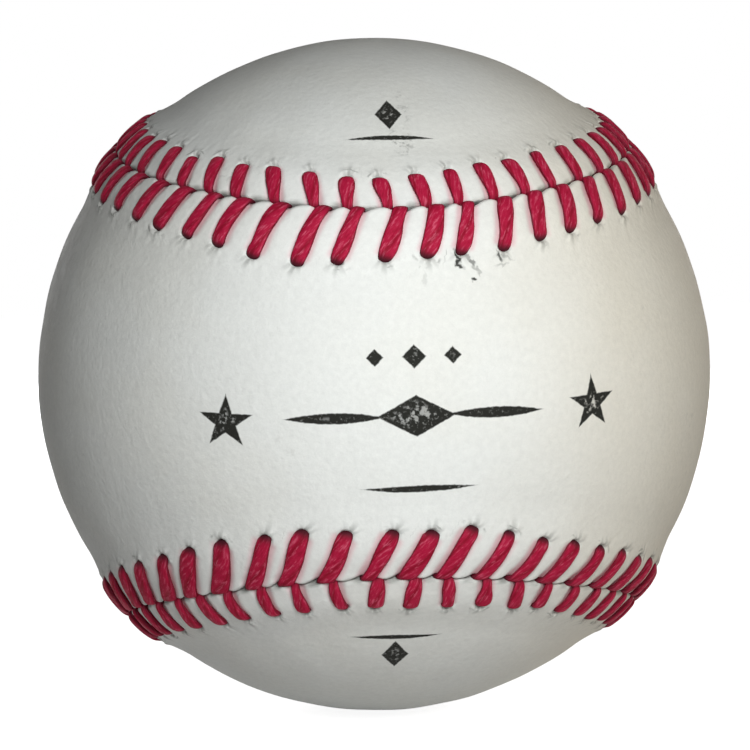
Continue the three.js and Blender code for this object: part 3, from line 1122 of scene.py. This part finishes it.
innerLook = {
    "cork": ((0.24, 0.12, 0.05, 1), (0.5, 0.3, 0.14, 1)),  # darkest and palest granules
    "corkPits": (0.06, 0.03, 0.015, 1),
    "corkScale": 620.0,
    "pitScale": 900.0,
    "blackRubber": (0.009, 0.0093, 0.01, 1),
    "redRubber": (0.42, 0.036, 0.027, 1),
    "rubberScale": 420.0,
    # colour and number of strands
    "greyWool": ((0.21, 0.22, 0.23, 1), 420.0),
    "whiteWool": ((0.79, 0.75, 0.67, 1), 420.0),
    "whiteCotton": ((0.85, 0.83, 0.77, 1), 800.0),
    "yarnSheen": 0.3,
}


def woundMaterial(name):
    material, tree, shader = newMaterial(name)
    color, strands = innerLook[name]
    yarn = useGroup(tree, woundYarn, Strands=strands)
    dark = tuple(0.45 * c for c in color[:3]) + (1,)
    rough = remap(yarn["Height"], 0.0, 1.0, 0.95, 0.8)
    setSurface(shader, blendColor(yarn["Shade"], dark, color), rough, bump(yarn["Height"], 0.7, 0.0004))
    shader["Sheen Weight"].default_value = innerLook["yarnSheen"]
    return material


def mouldedRubber(name):
    material, tree, shader = newMaterial(name)
    color = innerLook[name]
    lighter = tuple(min(1.0, 1.5 * c + 0.01) for c in color[:3]) + (1,)
    skin = useGroup(tree, mottle, Scale=innerLook["rubberScale"])["Height"]
    bloomed = blendColor(remap(skin, 0.4, 0.75, 0.0, 0.5), color, lighter)
    setSurface(shader, bloomed, remap(skin, 0.3, 0.7, 0.5, 0.72), bump(skin, 0.3, 0.0002))
    return material


def groundCork():
    material, tree, shader = newMaterial("groundCork")
    granules = cells(objectPlace(tree), innerLook["corkScale"])
    tone = addNode("SeparateColor", {0: granules["Color"]})[0]
    pits = useGroup(tree, mottle, Scale=innerLook["pitScale"])["Height"]
    base = blendColor(tone, *innerLook["cork"])
    base = blendColor(remap(pits, 0.56, 0.7, 0.0, 0.8), base, innerLook["corkPits"])
    setSurface(shader, base, remap(pits, 0.3, 0.7, 0.8, 0.95), bump(granules["Distance"], 0.5, 0.0003))
    return material


def dress(piece, material):
    piece.data.materials.clear()
    piece.data.materials.append(material)


leather = whiteLeather()
redWaxed = redThread()
for piece, material, slotName, node in (
    (frontLeather, leather, "white_leather", "front_cover"),
    (rearLeather, leather, "white_leather", "rear_cover"),
    (threadOne, redWaxed, "red_thread", "needle_thread_one"),
    (threadTwo, redWaxed, "red_thread", "needle_thread_two"),
):
    dress(piece, material)
    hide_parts(node)
    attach(piece, "root")

greyWool = woundMaterial("greyWool")
blackRubber = mouldedRubber("blackRubber")
redRubber = mouldedRubber("redRubber")
innerFinishes = {
    "cork_core": groundCork(),
    "black_rubber_half_lower": blackRubber,
    "black_rubber_half_upper": blackRubber,
    "rubber_gasket": redRubber,
    "red_rubber_half_lower": redRubber,
    "red_rubber_half_upper": redRubber,
    "first_winding": greyWool,
    "second_winding": woundMaterial("whiteWool"),
    "third_winding": greyWool,
    "finishing_winding": woundMaterial("whiteCotton"),
}
for node, material in innerFinishes.items():
    dress(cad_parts[node], material)
print("materials set:", len(bpy.data.materials))


# floor, light and camera

studio = {
    "floorSize": 6.0,
    "floorColor": (0.71, 0.71, 0.71, 1),
    "floorGlow": (0.91, 1.0),  # by the ball and away from it
    "floorGlowReach": (0.05, 0.2),
    "ambient": 0.03,
    "ambientColor": (1.0, 0.98, 0.94, 1),
    # longitude and latitude in degrees, distance and diameter in metres, level and colour;
    # a facing surface is lit plainly at level 1
    "lamps": {
        "keyLamp": (4.5, 15.2, 0.14, 0.055, 0.602, (0.965, 0.994, 1.0)),
        "rightLamp": (89.0, 17.0, 0.35, 0.22, 0.135, (1.0, 0.87, 0.69)),
        "backLamp": (177.5, 8.0, 0.7, 0.16, 0.52, (1.0, 1.0, 1.0)),
        "backLampLeft": (-152.0, 8.0, 0.7, 0.16, 0.13, (1.0, 1.0, 1.0)),
        "backLampRight": (152.0, 8.0, 0.7, 0.16, 0.08, (1.0, 1.0, 1.0)),
    },
}


# the backdrop shows white to the camera and in reflections, and lights the ball only as a dim room
def seenDirectly(tree):
    path = addNode("LightPath", {}, tree)
    return largest([path["Is Camera Ray"], path["Is Glossy Ray"], path["Is Transmission Ray"]])


def whiteFloor():
    half = studio["floorSize"] / 2
    bottom = -leatherRadius * mm
    mesh = bpy.data.meshes.new("floor")
    corners = [(-half, -half, bottom), (half, -half, bottom), (half, half, bottom), (-half, half, bottom)]
    mesh.from_pydata(corners, [], [(0, 1, 2, 3)])
    floor = bpy.data.objects.new("floor", mesh)
    bpy.context.scene.collection.objects.link(floor)
    material, tree, shader = newMaterial("whiteFloor")
    shader["Base Color"].default_value = studio["floorColor"]
    shader["Roughness"].default_value = 0.9
    shader["Specular IOR Level"].default_value = 0.0
    shader["Emission Color"].default_value = (1, 1, 1, 1)
    away = vectorCalc("LENGTH", objectPlace(tree))["Value"]
    glow = remap(away, *studio["floorGlowReach"], *studio["floorGlow"])
    join(times(seenDirectly(tree), glow), shader["Emission Strength"])
    dress(floor, material)


def softRoom():
    world = bpy.data.worlds.new("softRoom")
    bpy.context.scene.world = world
    world.use_nodes = True
    background = world.node_tree.nodes["Background"].inputs
    shown = seenDirectly(world.node_tree)
    join(blendColor(shown, studio["ambientColor"], (1, 1, 1, 1)), background["Color"])
    join(remap(shown, 0.0, 1.0, studio["ambient"], 1.0), background["Strength"])


def hangLamp(name, longitude, latitude, distance, diameter, level, color):
    light = bpy.data.lights.new(name, "AREA")
    light.shape = "DISK"
    light.size = diameter
    light.energy = level * math.pi**2 * distance**2
    light.color = color
    lamp = bpy.data.objects.new(name, light)
    bpy.context.scene.collection.objects.link(lamp)
    direction = directionOf(longitude, latitude)
    lamp.location = direction * distance
    lamp.rotation_mode = "QUATERNION"
    lamp.rotation_quaternion = (-direction).to_track_quat("-Z", "Y")
    lamp.visible_camera = False


whiteFloor()
softRoom()
for name, form in studio["lamps"].items():
    hangLamp(name, *form)

viewpoint = {
    "azimuth": -2.48,
    "elevation": 2.95,
    "roll": -1.09,
    "distance": 5.2,  # in ball radii
    "pictureSize": 750,
    "ballInPicture": (374.3, 374.0, 336.0),  # middle and radius of the leather, in pixels
}


def setCamera():
    data = bpy.data.cameras.new("camera")
    camera = bpy.data.objects.new("camera", data)
    bpy.context.scene.collection.objects.link(camera)
    middleX, middleY, radius = viewpoint["ballInPicture"]
    pictureSize = viewpoint["pictureSize"]
    focal = radius * math.sqrt(viewpoint["distance"] ** 2 - 1)
    data.sensor_width = 36
    data.lens = focal / pictureSize * data.sensor_width
    data.shift_x = (pictureSize / 2 - middleX) / pictureSize
    data.shift_y = (middleY - pictureSize / 2) / pictureSize
    data.clip_start = 0.01
    data.clip_end = 50
    back = directionOf(viewpoint["azimuth"], viewpoint["elevation"])
    level = Vector((0, 0, 1)).cross(back).normalized()
    turn = math.radians(viewpoint["roll"])
    right = level * math.cos(turn) + back.cross(level) * math.sin(turn)
    up = back.cross(right)
    place = back * viewpoint["distance"] * leatherRadius * mm
    rows = [(*row, place[k]) for k, row in enumerate(zip(right, up, back))]
    camera.matrix_world = Matrix(rows + [(0, 0, 0, 1)])
    bpy.context.scene.camera = camera


setCamera()
bpy.context.scene.view_settings.view_transform = "Standard"
print("stage and camera set")
